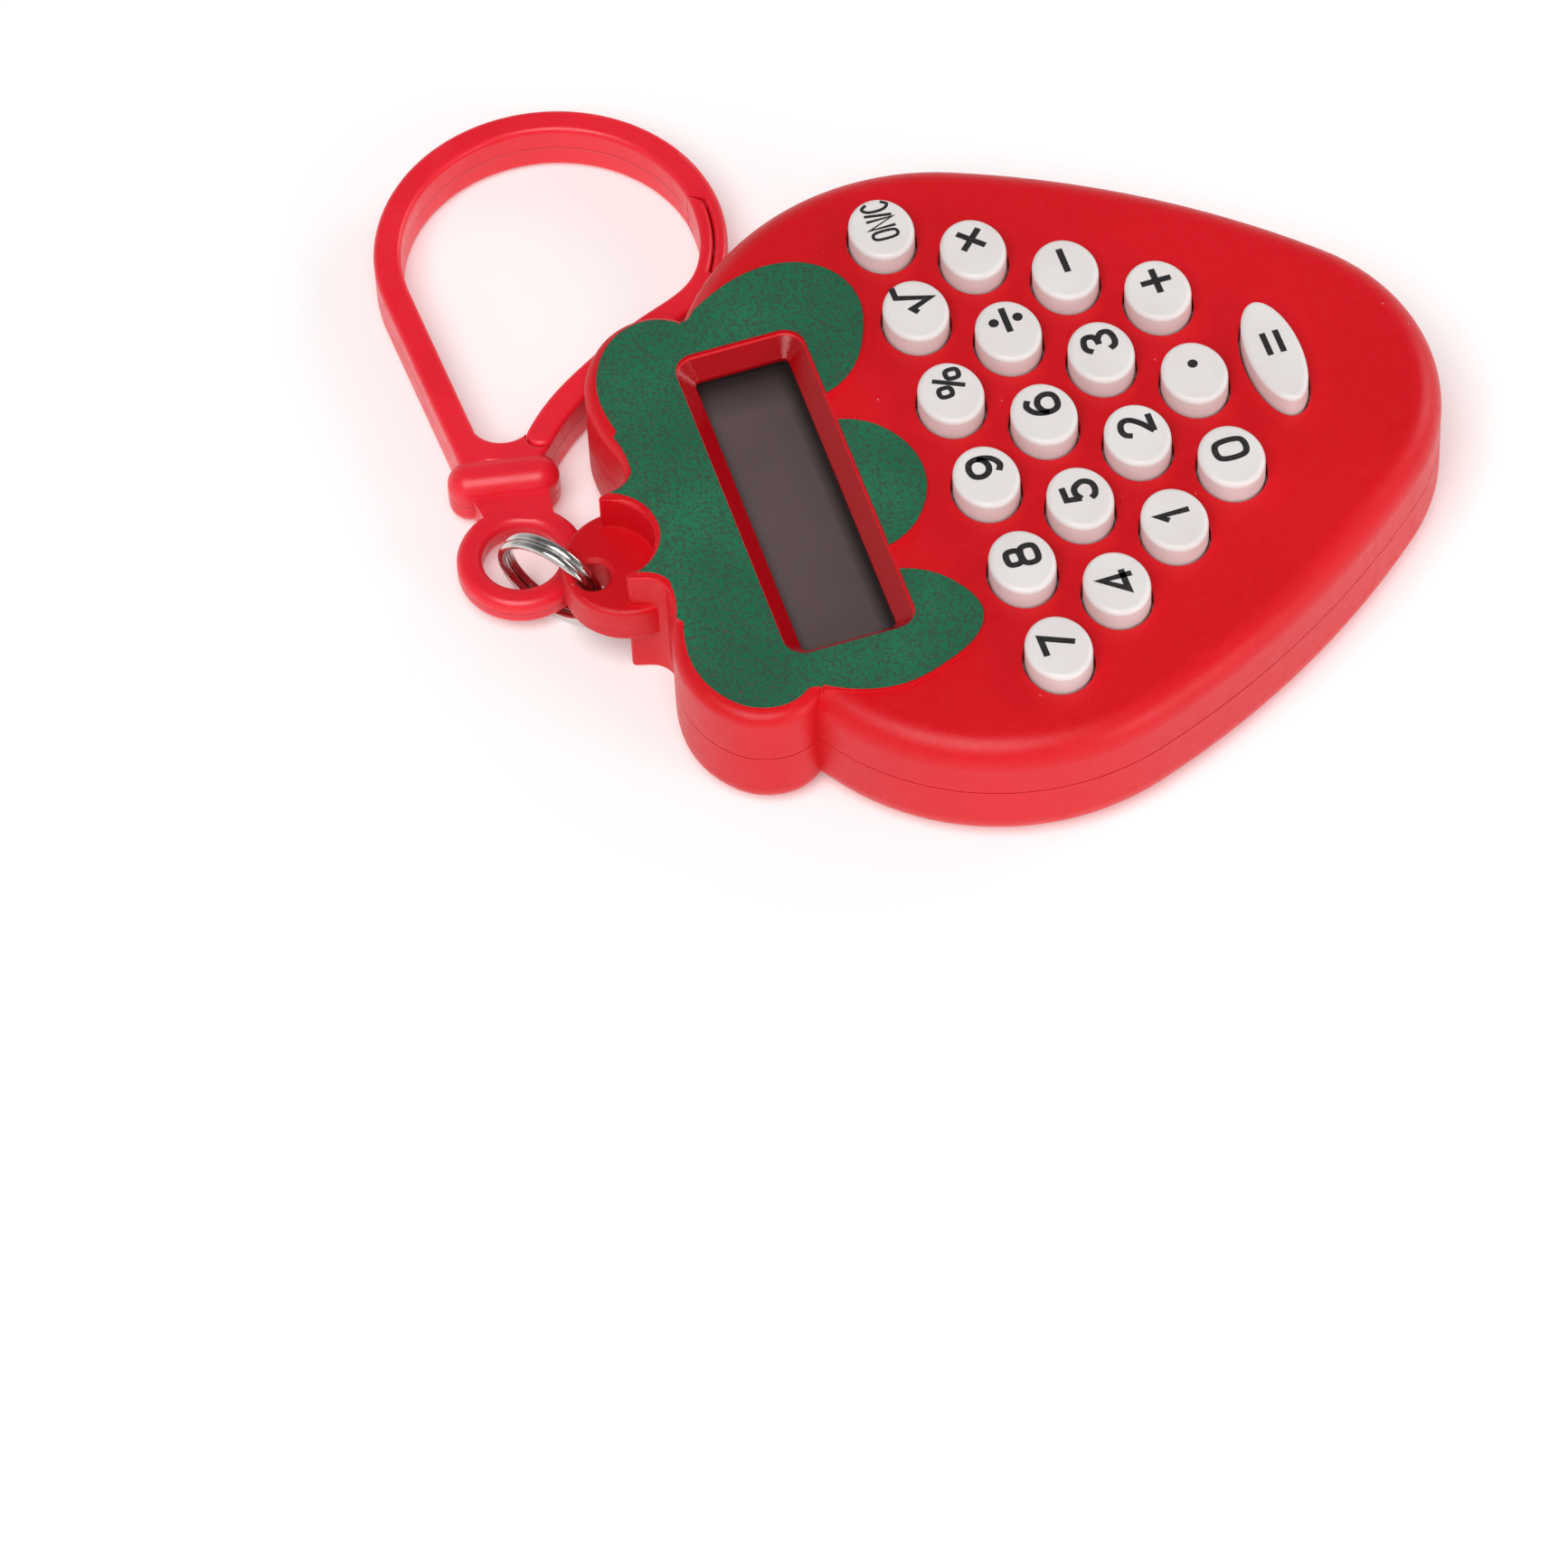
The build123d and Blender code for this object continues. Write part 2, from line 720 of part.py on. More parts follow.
def loop_sector(inner, outer, start, end):
    """Plan of a stretch of the loop's band between two angles."""
    middle = (start + end) / 2
    with BuildSketch() as stretch:
        with BuildLine():
            rim = ThreePointArc(on_loop(outer, start), on_loop(outer, middle), on_loop(outer, end))
            bore = ThreePointArc(on_loop(inner, end), on_loop(inner, middle), on_loop(inner, start))
            Line(rim @ 1, bore @ 0)
            Line(bore @ 1, rim @ 0)
        make_face()
    return stretch.sketch_local


def stiff_arm():
    """Plan of the straight arm, tangent to the loop."""
    lean = radians(arm_meets_loop - 90)
    along = Vector(cos(lean), sin(lean))
    end = Vector(*on_loop(loop_radius, arm_meets_loop))
    with BuildSketch() as arm:
        with BuildLine():
            Line(end - arm_length * along, end)
        trace(line_width=clip_band_thickness)
    return arm.sketch_local


def gate_root(radius):
    """Plan of the round root on which the gate bends."""
    with BuildSketch() as root:
        with Locations((gate_root_x, gate_root_y)):
            Circle(radius)
    return root.sketch_local


def fork_web():
    """Plan of the web between the collar and the two arms, with a round crotch."""
    with BuildSketch() as web:
        with BuildLine():
            crotch = ThreePointArc((12.3, 5.0), (10.2, 1.9), (11.2, 0.4))
            Polyline(crotch @ 1, (gate_root_x, gate_root_y), (gate_root_x - 0.5, gate_root_y - 1.0), (8.0, -0.6),
                     (8.0, 4.8), (12.0, 6.3), crotch @ 0)
        make_face()
    return web.sketch_local


def make_clip_frame():
    """Eye, neck, collar, the stiff arm and the round loop that ends in a thin outer lip."""
    inner, outer = loop_radius - clip_band_thickness / 2, loop_radius + clip_band_thickness / 2
    with BuildPart() as eye:
        with BuildSketch(clip_plane(clip_mid_height - clip_eye_thickness / 2)):
            Circle(clip_eye_radius)
            Circle(clip_eye_hole_radius, mode=Mode.SUBTRACT)
        extrude(amount=clip_eye_thickness)
        fillet(eye.edges().filter_by(GeomType.CIRCLE), 0.75)
    with BuildPart() as collar:
        with BuildSketch(clip_plane(clip_mid_height - clip_collar_depth / 2)):
            with Locations(Location((7.3, 1.95), collar_turn)):
                RectangleRounded(3.4, 8.7, 1.65)
        extrude(amount=clip_collar_depth)
        fillet(collar.faces().sort_by(Axis.Z)[0].edges() + collar.faces().sort_by(Axis.Z)[-1].edges(), 1.5)
    with BuildPart() as frame:
        with BuildSketch(clip_plane(clip_mid_height - clip_band_depth / 2)):
            add(fork_web())
            add(stiff_arm())
            add(loop_sector(inner, outer, arm_meets_loop, lip_start))
            add(loop_sector(loop_radius + lap_clearance / 2, outer, lip_start, lip_end))
            add(lap_wedge(loop_radius + lap_clearance / 2, lip_start, 0.3), mode=Mode.SUBTRACT)
            add(gate_root(clip_band_thickness / 2 + gate_root_gap), mode=Mode.SUBTRACT)
        extrude(amount=clip_band_depth)
        fillet(rim_edges(frame), clip_edge_radius)
        with BuildSketch(clip_plane(clip_mid_height - clip_eye_thickness / 2)):
            with BuildLine():
                Polyline((3.4, -2.4), (3.4, 3.2), (7.3, 5.4), (7.3, -1.3), close=True)
            make_face()
        extrude(amount=clip_eye_thickness)
        add(eye.part)
        add(collar.part)
    return frame.part


def rim_edges(part):
    """The long edges of a band's two flat sides."""
    sides = part.faces().sort_by(Axis.Z)
    rims = sides[0].edges() + sides[-1].edges()
    return rims.filter_by(lambda edge: edge.length > 1.6)


def lap_wedge(outer, angle, reach):
    """The three-cornered plan by which the slanted end of an inner layer differs from a square one."""
    inner = loop_radius - clip_band_thickness / 2
    with BuildSketch() as wedge:
        with BuildLine():
            Polyline(on_loop(outer, angle), on_loop(inner - reach, angle + lap_slant),
                     on_loop(inner - reach, angle - reach), close=True)
        make_face()
    return wedge.sketch_local


def make_clip_gate():
    """The springy arm: it thins into the inner layer of the lap, behind the lip."""
    inner, outer = loop_radius - clip_band_thickness / 2, loop_radius + clip_band_thickness / 2
    layer = loop_radius - lap_clearance / 2
    with BuildPart() as gate:
        with BuildSketch(clip_plane(clip_mid_height - clip_band_depth / 2)):
            with BuildLine():
                inside = Spline((gate_root_x + 0.45, gate_root_y + 1.0), (14.9, -1.3), (18.75, -4.05),
                                (23.15, -7.95), on_loop(inner - 0.2, -104), on_loop(inner, -92),
                                on_loop(inner, -80), on_loop(inner, gate_tip + lap_slant))
                outside = Spline((gate_root_x - 0.45, gate_root_y - 1.0), (13.9, -3.3), (17.45, -5.85),
                                 (21.6, -9.5), (24.3, -12.05), on_loop(outer, gate_shoulder))
                Line(outside @ 0, inside @ 0)
                step = Line(outside @ 1, on_loop(layer, gate_shoulder + 1))
                lap = ThreePointArc(step @ 1, on_loop(layer, (gate_shoulder + gate_tip) / 2),
                                    on_loop(layer, gate_tip))
                Line(lap @ 1, inside @ 1)
            make_face()
            add(gate_root(clip_band_thickness / 2))
        extrude(amount=clip_band_depth)
        fillet(rim_edges(gate), clip_edge_radius * 0.8)
    return gate.part


def save(part, name):
    part.label = name
    export_step(part, f"parts/{name}.step")


os.makedirs("parts", exist_ok=True)
save(make_front_cover(), "front_cover")
save(make_back_cover(), "back_cover")
save(make_leaf_foil(), "leaf_foil")
save(make_display_window(), "display_window")
save(make_lcd_panel(), "lcd_panel")
save(make_zebra_connector(), "zebra_connector")
save(make_circuit_board(), "circuit_board")
save(make_chip_blob(), "chip_blob")
save(make_button_cell(), "button_cell")
save(make_contact(1, True), "battery_contact_positive")
save(make_contact(-1, False), "battery_contact_negative")
save(make_rubber_keypad(), "rubber_keypad")
save(make_battery_cover(), "battery_cover")
save(make_screws([cover_screw_place], 0.05, 0.65, 1.3, board_bottom - 1.0), "battery_cover_screw")
save(make_screws(screw_places, 0.7, seat_depth - 0.7, 1.5, screw_reach), "case_screws")
for name, x, y, radius_x, radius_y in keys:
    save(make_key(x, y, radius_x, radius_y), name)
save(make_split_ring(), "split_ring")
save(make_clip_frame(), "clip_frame")
save(make_clip_gate(), "clip_gate")
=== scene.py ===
"""Looks of the fruit-shaped pocket calculator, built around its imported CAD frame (metres)."""

import json
import math

import bmesh
import bpy
from mathutils import Euler, Matrix, Vector


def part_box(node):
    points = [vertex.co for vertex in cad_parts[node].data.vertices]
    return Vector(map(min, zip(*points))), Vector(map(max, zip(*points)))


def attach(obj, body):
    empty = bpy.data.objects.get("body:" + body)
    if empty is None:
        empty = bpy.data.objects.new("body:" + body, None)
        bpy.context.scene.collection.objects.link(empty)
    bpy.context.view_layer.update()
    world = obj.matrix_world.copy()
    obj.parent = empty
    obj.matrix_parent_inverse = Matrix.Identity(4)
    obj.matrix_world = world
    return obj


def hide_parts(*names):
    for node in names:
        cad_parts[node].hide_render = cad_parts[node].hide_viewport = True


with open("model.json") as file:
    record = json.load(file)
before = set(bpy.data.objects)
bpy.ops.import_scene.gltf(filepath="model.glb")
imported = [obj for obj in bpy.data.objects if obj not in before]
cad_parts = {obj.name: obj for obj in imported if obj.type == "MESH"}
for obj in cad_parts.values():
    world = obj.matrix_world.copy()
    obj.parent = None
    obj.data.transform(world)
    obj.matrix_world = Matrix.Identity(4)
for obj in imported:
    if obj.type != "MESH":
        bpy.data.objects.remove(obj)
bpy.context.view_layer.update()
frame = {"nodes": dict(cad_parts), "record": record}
MM = 0.001

# ---- driving values ------------------------------------------------------------------------
CAMERA_PLACE = (-0.41276, 0.13330, 0.57089)
CAMERA_TURN_DEG = (35.6034, 1.8552, -107.8077)
LENS_MM = 213.46
SENSOR_MM = 36.0

# Face height and display window outline (mm); they set where the window's sloped walls get their painted
# darker red.
FACE_Z = 11.0
WINDOW_CENTRE = (0.3, 18.85)
WINDOW_HALF = (15.3, 5.5)
SLOPE_FOOT_Z = 9.0
KEY_PITCH = 8.5
# Painted shade on the display: where it starts at the right end and along the lower edge, and how far it
# fades (mm).
DISPLAY_SHADE_X = 10.4
DISPLAY_SHADE_LENGTH = 3.4
DISPLAY_SHADE_EDGE_Y = 16.3
DISPLAY_SHADE_EDGE_BLUR = 1.0
CLIP_SEAM_Z = 2.4
CROWN_WEAR_Y = 24.0
CROWN_WEAR_LENGTH = 6.0
PRINT_DROP = 0.1
WORLD_STRENGTH = 0.62
FLOOR_GLOW = 0.16


# ---- material helpers ----------------------------------------------------------------------
class Nodes:
    """A material with a Principled shader and short calls for the nodes around it."""

    def __init__(self, name, **sockets):
        self.material = bpy.data.materials.new(name)
        self.material.use_nodes = True
        self.tree = self.material.node_tree
        self.shader = next(n for n in self.tree.nodes if n.type == "BSDF_PRINCIPLED")
        self.place = self.node("ShaderNodeTexCoord").outputs["Object"]
        for key, value in sockets.items():
            self.shader.inputs[key.replace("_", " ")].default_value = value

    def node(self, kind, **settings):
        made = self.tree.nodes.new(kind)
        for key, value in settings.items():
            setattr(made, key, value)
        return made

    def link(self, source, target):
        self.tree.links.new(source, target)

    def noise(self, per_mm, detail=3.0, roughness=0.5, place=None):
        """Noise with a given number of cells in a millimetre."""
        made = self.node("ShaderNodeTexNoise")
        made.inputs["Scale"].default_value = per_mm / MM
        made.inputs["Detail"].default_value = detail
        made.inputs["Roughness"].default_value = roughness
        self.link(place or self.place, made.inputs["Vector"])
        return made.outputs["Fac"]

    def cells(self, per_mm, randomness=1.0, feature="F1", place=None):
        made = self.node("ShaderNodeTexVoronoi", feature=feature)
        made.inputs["Scale"].default_value = per_mm / MM
        made.inputs["Randomness"].default_value = randomness
        self.link(place or self.place, made.inputs["Vector"])
        return made.outputs["Distance"]

    def stretched(self, x, y, z):
        """Object coordinates scaled along each axis."""
        made = self.node("ShaderNodeMapping")
        made.inputs["Scale"].default_value = (x, y, z)
        self.link(self.place, made.inputs["Vector"])
        return made.outputs["Vector"]

    def steps(self, value, *stops, mode="LINEAR"):
        """A colour ramp through (place, grey or colour) stops."""
        made = self.node("ShaderNodeValToRGB")
        ramp = made.color_ramp
        ramp.interpolation = mode
        while len(ramp.elements) < len(stops):
            ramp.elements.new(1.0)
        for element, (at, shade) in zip(ramp.elements, stops):
            element.position = at
            element.color = (shade, shade, shade, 1) if isinstance(shade, (int, float)) else (*shade, 1)
        self.link(value, made.inputs["Fac"])
        return made.outputs["Color"]

    def math(self, operation, first, second=0.0, clamp=False):
        made = self.node("ShaderNodeMath", operation=operation, use_clamp=clamp)
        for socket, value in zip(made.inputs, (first, second)):
            if isinstance(value, (int, float)):
                socket.default_value = value
            else:
                self.link(value, socket)
        return made.outputs["Value"]

    def mix(self, share, first, second):
        """Mix of two colours or colour outputs."""
        made = self.node("ShaderNodeMix", data_type="RGBA")
        sockets = (made.inputs[0], made.inputs[6], made.inputs[7])
        for socket, value in zip(sockets, (share, first, second)):
            if isinstance(value, (int, float)):
                socket.default_value = value
            elif isinstance(value, tuple):
                socket.default_value = (*value, 1)
            else:
                self.link(value, socket)
        return made.outputs[2]

    def within(self, value, centre, half):
        """1 where a coordinate is within half a width of the centre (both in mm)."""
        away = self.math("ABSOLUTE", self.math("SUBTRACT", value, centre * MM))
        return self.math("LESS_THAN", away, half * MM)

    def position(self):
        """X, Y and Z of the surface point, in metres."""
        made = self.node("ShaderNodeSeparateXYZ")
        self.link(self.place, made.inputs["Vector"])
        return made.outputs

    def edges(self, radius_mm):
        """How sharply the surface turns near a point: 0 on flats, 1 on a crisp edge."""
        bevel = self.node("ShaderNodeBevel", samples=4)
        bevel.inputs["Radius"].default_value = radius_mm * MM
        true_normal = self.node("ShaderNodeNewGeometry").outputs["Normal"]
        dot = self.node("ShaderNodeVectorMath", operation="DOT_PRODUCT")
        self.link(bevel.outputs["Normal"], dot.inputs[0])
        self.link(true_normal, dot.inputs[1])
        return self.math("SUBTRACT", 1.0, dot.outputs["Value"], clamp=True)

    def bump(self, *layers):
        """Stacked bumps of (height output, depth in mm, strength)."""
        normal = None
        for height, depth_mm, strength in layers:
            made = self.node("ShaderNodeBump")
            made.inputs["Strength"].default_value = strength
            made.inputs["Distance"].default_value = depth_mm * MM
            self.link(height, made.inputs["Height"])
            if normal:
                self.link(normal, made.inputs["Normal"])
            normal = made.outputs["Normal"]
        self.link(normal, self.shader.inputs["Normal"])

    def colour(self, output):
        self.link(output, self.shader.inputs["Base Color"])

    def roughness(self, output):
        self.link(output, self.shader.inputs["Roughness"])


def srgb(red, green, blue):
    """Scene-linear colour of an 8-bit display colour."""
    return tuple(
        (c / 255 / 12.92) if c / 255 <= 0.04045 else ((c / 255 + 0.055) / 1.055) ** 2.4
        for c in (red, green, blue)
    )


# ---- materials -----------------------------------------------------------------------------
def case_plastic():
    """Moulded red plastic: fine spark-eroded grain, a slow drift of colour, paler worn edges, dust, and
    painted shade: a darker red on the sloped walls of the display window.
    """
    m = Nodes("red_case_plastic", Roughness=0.42, Specular_IOR_Level=0.36)
    m.shader.inputs["Subsurface Weight"].default_value = 0.03
    m.shader.inputs["Subsurface Radius"].default_value = (0.0018, 0.0004, 0.0004)
    drift = m.noise(0.06, 2.0)
    base = m.mix(m.steps(drift, (0.35, 0.0), (0.65, 1.0)), srgb(208, 2, 18), srgb(216, 6, 24))
    speck = m.steps(m.noise(7.0, 2.0), (0.55, 0.0), (0.75, 1.0))
    base = m.mix(m.math("MULTIPLY", speck, 0.07), base, srgb(236, 60, 70))
    worn = m.steps(m.math("MULTIPLY", m.edges(0.25), m.noise(0.8, 4.0)), (0.03, 0.0), (0.25, 1.0))
    base = m.mix(m.math("MULTIPLY", worn, 0.30), base, srgb(235, 95, 98))
    dust = m.steps(m.cells(0.33), (0.020, 1.0), (0.035, 0.0))
    base = m.mix(m.math("MULTIPLY", dust, 0.35), base, srgb(240, 170, 165))
    x, y, z = m.position()
    inside = m.within(x, WINDOW_CENTRE[0], WINDOW_HALF[0]), m.within(y, WINDOW_CENTRE[1], WINDOW_HALF[1])
    sunk = m.math("LESS_THAN", z, (FACE_Z - 0.12) * MM)
    above_foot = m.math("GREATER_THAN", z, SLOPE_FOOT_Z * MM)
    polished_slope_painted_shade = m.math("MULTIPLY", m.math("MULTIPLY", *inside), m.math("MULTIPLY", sunk, above_foot))
    # Painted shade: the window's sloped walls are coloured a darker red in place of their shade and
    # reflections; the same mask also makes them smoother, as polished walls.
    base = m.mix(m.math("MULTIPLY", polished_slope_painted_shade, 0.8), base, srgb(150, 0, 8))
    m.colour(base)
    grain = m.steps(m.noise(1.1, 4.0), (0.3, 0.36), (0.7, 0.46))
    m.roughness(m.mix(polished_slope_painted_shade, grain, (0.16, 0.16, 0.16)))
    m.bump((m.noise(4.2, 4.0, 0.6), 0.035, 0.55), (m.noise(0.35, 2.0), 0.05, 0.12))
    return m.material


def key_plastic():
    """White plastic, slightly see-through, a little greyer at its edges."""
    m = Nodes("white_key_plastic", Roughness=0.38)
    m.shader.inputs["Subsurface Weight"].default_value = 0.25
    m.shader.inputs["Subsurface Radius"].default_value = (0.0016, 0.0012, 0.001)
    drift = m.noise(0.15, 3.0)
    base = m.mix(m.steps(drift, (0.3, 0.0), (0.7, 1.0)), srgb(226, 219, 217), srgb(235, 230, 228))
    grime = m.steps(m.math("MULTIPLY", m.edges(0.2), m.noise(1.5, 4.0)), (0.05, 0.0), (0.3, 1.0))
    base = m.mix(m.math("MULTIPLY", grime, 0.08), base, srgb(215, 200, 195))
    m.colour(base)
    m.roughness(m.steps(m.noise(1.6, 4.0), (0.3, 0.32), (0.7, 0.45)))
    m.bump((m.noise(3.2, 3.0), 0.018, 0.4))
    return m.material


def leaf_print():
    """Green foil with an orange-peel stipple, darker pits and stray red flecks."""
    m = Nodes("green_leaf_foil", Roughness=0.45)
    drift = m.noise(0.12, 3.0)
    base = m.mix(m.steps(drift, (0.35, 0.0), (0.65, 1.0)), srgb(10, 98, 66), srgb(20, 114, 76))
    stipple = m.noise(4.6, 2.0, 0.5)
    pits = m.steps(stipple, (0.40, 1.0), (0.56, 0.0))
    base = m.mix(m.math("MULTIPLY", pits, 0.72), base, srgb(44, 56, 44))
    past_crown = m.math("SUBTRACT", m.position()[1], CROWN_WEAR_Y * MM)
    crown = m.math("MULTIPLY", past_crown, 1 / (CROWN_WEAR_LENGTH * MM), True)
    bare = m.math("ADD", m.noise(3.0, 2.5, 0.7), m.math("MULTIPLY", crown, 0.06))
    base = m.mix(m.math("MULTIPLY", m.steps(bare, (0.66, 0.0), (0.76, 1.0)), 0.6), base, srgb(118, 36, 32))
    m.colour(base)
    m.roughness(m.steps(stipple, (0.35, 0.62), (0.6, 0.40)))
    m.bump((stipple, 0.06, 0.7))
    return m.material


def clip_plastic():
    """Softer, slightly see-through red plastic, smooth but drawn, with a mould line round its middle."""
    m = Nodes("red_clip_plastic", Roughness=0.33, Specular_IOR_Level=0.5)
    m.shader.inputs["Subsurface Weight"].default_value = 0.55
    m.shader.inputs["Subsurface Radius"].default_value = (0.006, 0.0010, 0.0011)
    drift = m.noise(0.09, 2.0)
    base = m.mix(m.steps(drift, (0.35, 0.0), (0.65, 1.0)), srgb(232, 24, 44), srgb(242, 36, 56))
    z = m.position()[2]
    from_seam = m.math("ABSOLUTE", m.math("SUBTRACT", m.math("DIVIDE", z, MM), CLIP_SEAM_Z))
    seam = m.steps(from_seam, (0.04, 1.0), (0.16, 0.0))
    base = m.mix(m.math("MULTIPLY", seam, 0.45), base, srgb(186, 20, 36))
    worn = m.steps(m.math("MULTIPLY", m.edges(0.2), m.noise(0.8, 4.0)), (0.03, 0.0), (0.25, 1.0))
    base = m.mix(m.math("MULTIPLY", worn, 0.35), base, srgb(244, 120, 124))
    m.colour(base)
    m.roughness(m.steps(m.noise(0.8, 4.0), (0.3, 0.27), (0.7, 0.4)))
    m.bump((m.noise(1.4, 4.0), 0.03, 0.35), (m.noise(5.0, 2.0), 0.01, 0.3), (seam, 0.05, 0.6))
    return m.material


def ring_metal():
    """Bright nickel plate with fine handling marks."""
    m = Nodes("ring_nickel", Metallic=1.0, Roughness=0.16)
    base = m.mix(m.steps(m.noise(0.8, 4.0), (0.4, 0.0), (0.7, 1.0)), srgb(214, 212, 208), srgb(180, 176, 170))
    m.colour(base)
    m.roughness(m.steps(m.noise(2.5, 4.0), (0.35, 0.10), (0.7, 0.30)))
    m.bump((m.noise(3.0, 4.0), 0.02, 0.3))
    return m.material


def display_glass():
    """Dark grey-brown display with painted shade: a dark band along its lower edge and a darkening that fades
    in at the right end, where the recess walls shade and reflect in it.
    """
    m = Nodes("display_glass", Roughness=0.14, Specular_IOR_Level=0.35)
    base = m.mix(m.steps(m.noise(0.08, 2.0), (0.3, 0.0), (0.7, 1.0)), srgb(105, 88, 88), srgb(112, 95, 94))
    x, y = m.position()[0], m.position()[1]
    past_end = m.math("SUBTRACT", x, DISPLAY_SHADE_X * MM)
    end = m.math("MULTIPLY", past_end, 1 / (DISPLAY_SHADE_LENGTH * MM), True)
    past_edge = m.math("SUBTRACT", DISPLAY_SHADE_EDGE_Y * MM, y)
    edge = m.math("MULTIPLY", past_edge, 1 / (DISPLAY_SHADE_EDGE_BLUR * MM), True)
    # Painted shade: darker towards the right end and in a band along the lower edge.
    base = m.mix(m.math("MULTIPLY", end, 0.85), base, srgb(26, 12, 16))
    base = m.mix(m.math("MULTIPLY", edge, 0.85), base, srgb(22, 14, 16))
    m.colour(base)
    m.roughness(m.steps(m.noise(1.2, 4.0), (0.3, 0.10), (0.7, 0.22)))
    scratch = m.noise(0.9, 3.0, 0.6, m.stretched(0.15, 1.0, 1.0))
    m.bump((scratch, 0.01, 0.2))
    return m.material


def window_plastic():
    """Clear sheet over the display, with faint drawn scratches."""
    m = Nodes("window_plastic", Roughness=0.06, Alpha=0.1)
    m.colour(m.mix(m.noise(0.3, 2.0), srgb(60, 50, 50), srgb(80, 70, 70)))
    m.roughness(m.steps(m.noise(1.0, 4.0), (0.3, 0.04), (0.75, 0.14)))
    m.bump((m.noise(0.7, 3.0, 0.6, m.stretched(0.1, 1.0, 1.0)), 0.006, 0.2))
    return m.material


def key_ink():
    """Matt black print, a little uneven."""
    m = Nodes("black_key_print", Roughness=0.5)
    m.colour(m.mix(m.steps(m.noise(4.0, 3.0), (0.4, 0.0), (0.7, 1.0)), srgb(20, 18, 20), srgb(46, 42, 44)))
    m.roughness(m.steps(m.noise(6.0, 3.0), (0.3, 0.4), (0.7, 0.65)))
    m.bump((m.noise(6.0, 3.0), 0.01, 0.4))
    return m.material


def plain_part(name, dark, light, rough, metallic=0.0, grain_per_mm=2.0):
    """Finish for the pieces inside and for the screws."""
    m = Nodes(name, Roughness=rough, Metallic=metallic)
    m.colour(m.mix(m.steps(m.noise(grain_per_mm / 4, 3.0), (0.35, 0.0), (0.65, 1.0)), dark, light))
    m.roughness(m.steps(m.noise(grain_per_mm, 4.0), (0.3, rough * 0.8), (0.7, min(rough * 1.3, 1.0))))
    m.bump((m.noise(grain_per_mm, 3.0), 0.03, 0.35))
    return m.material


def floor_surface():
    """Pale floor with a faint glow of its own, so that it stays white round the object."""
    m = Nodes("pale_floor", Roughness=0.7)
    drift = m.steps(m.noise(0.004, 2.0), (0.3, 0.0), (0.7, 1.0))
    m.colour(m.mix(drift, (0.93, 0.93, 0.93), (0.96, 0.96, 0.96)))
    m.bump((m.noise(0.8, 3.0), 0.02, 0.05))
    m.shader.inputs["Emission Color"].default_value = (1, 1, 1, 1)
    m.shader.inputs["Emission Strength"].default_value = FLOOR_GLOW
    return m.material


CASE = case_plastic()
KEY = key_plastic()
LEAF = leaf_print()
CLIP = clip_plastic()
RING = ring_metal()
INK = key_ink()
FINISHES = {
    "red_case": CASE,
    "green_foil": LEAF,
    "clear_plastic": window_plastic(),
    "lcd_glass": display_glass(),
    "pink_elastomer": plain_part("pink_elastomer", srgb(200, 140, 140), srgb(225, 170, 165), 0.6),
    "board_green": plain_part("board_mask", srgb(10, 70, 36), srgb(20, 92, 48), 0.35),
    "black_resin": plain_part("black_resin", srgb(14, 14, 15), srgb(30, 30, 32), 0.3),
    "cell_steel": plain_part("cell_steel", srgb(165, 165, 165), srgb(205, 205, 203), 0.28, 1.0, 3.0),
    "spring_steel": plain_part("spring_steel", srgb(180, 178, 170), srgb(210, 208, 200), 0.3, 1.0, 3.0),
    "grey_rubber": plain_part("grey_rubber", srgb(86, 86, 88), srgb(112, 112, 114), 0.7),
    "screw_steel": plain_part("zinc_steel", srgb(120, 120, 118), srgb(175, 175, 172), 0.35, 1.0, 3.0),
    "ring_chrome": RING,
    "clip_red": CLIP,
    "key_white": KEY,
}
SLOT_OF = {part["node"]: part["material_slot"] for part in frame["record"]["subparts"]}
for node_name, obj in frame["nodes"].items():
    obj.data.materials.clear()
    obj.data.materials.append(FINISHES[SLOT_OF[node_name]])


# ---- key legends ---------------------------------------------------------------------------
def ring_points(x, y, radius_x, radius_y, count=8, squareness=1.12):
    """Points round an oval, slightly squared, in glyph units."""
    spots = []
    for step in range(count):
        turn = math.tau * step / count
        bulge = squareness if step % 2 else 1.0
        spots.append((x + radius_x * bulge * math.cos(turn), y + radius_y * bulge * math.sin(turn)))
    return spots


SIX = [(0.40, 0.40), (0.05, 0.50), (-0.35, 0.30), (-0.50, -0.08), (-0.38, -0.40), (0.0, -0.50), (0.38, -0.42),
       (0.50, -0.17), (0.34, 0.06), (0.0, 0.14), (-0.34, 0.04), (-0.48, -0.14)]
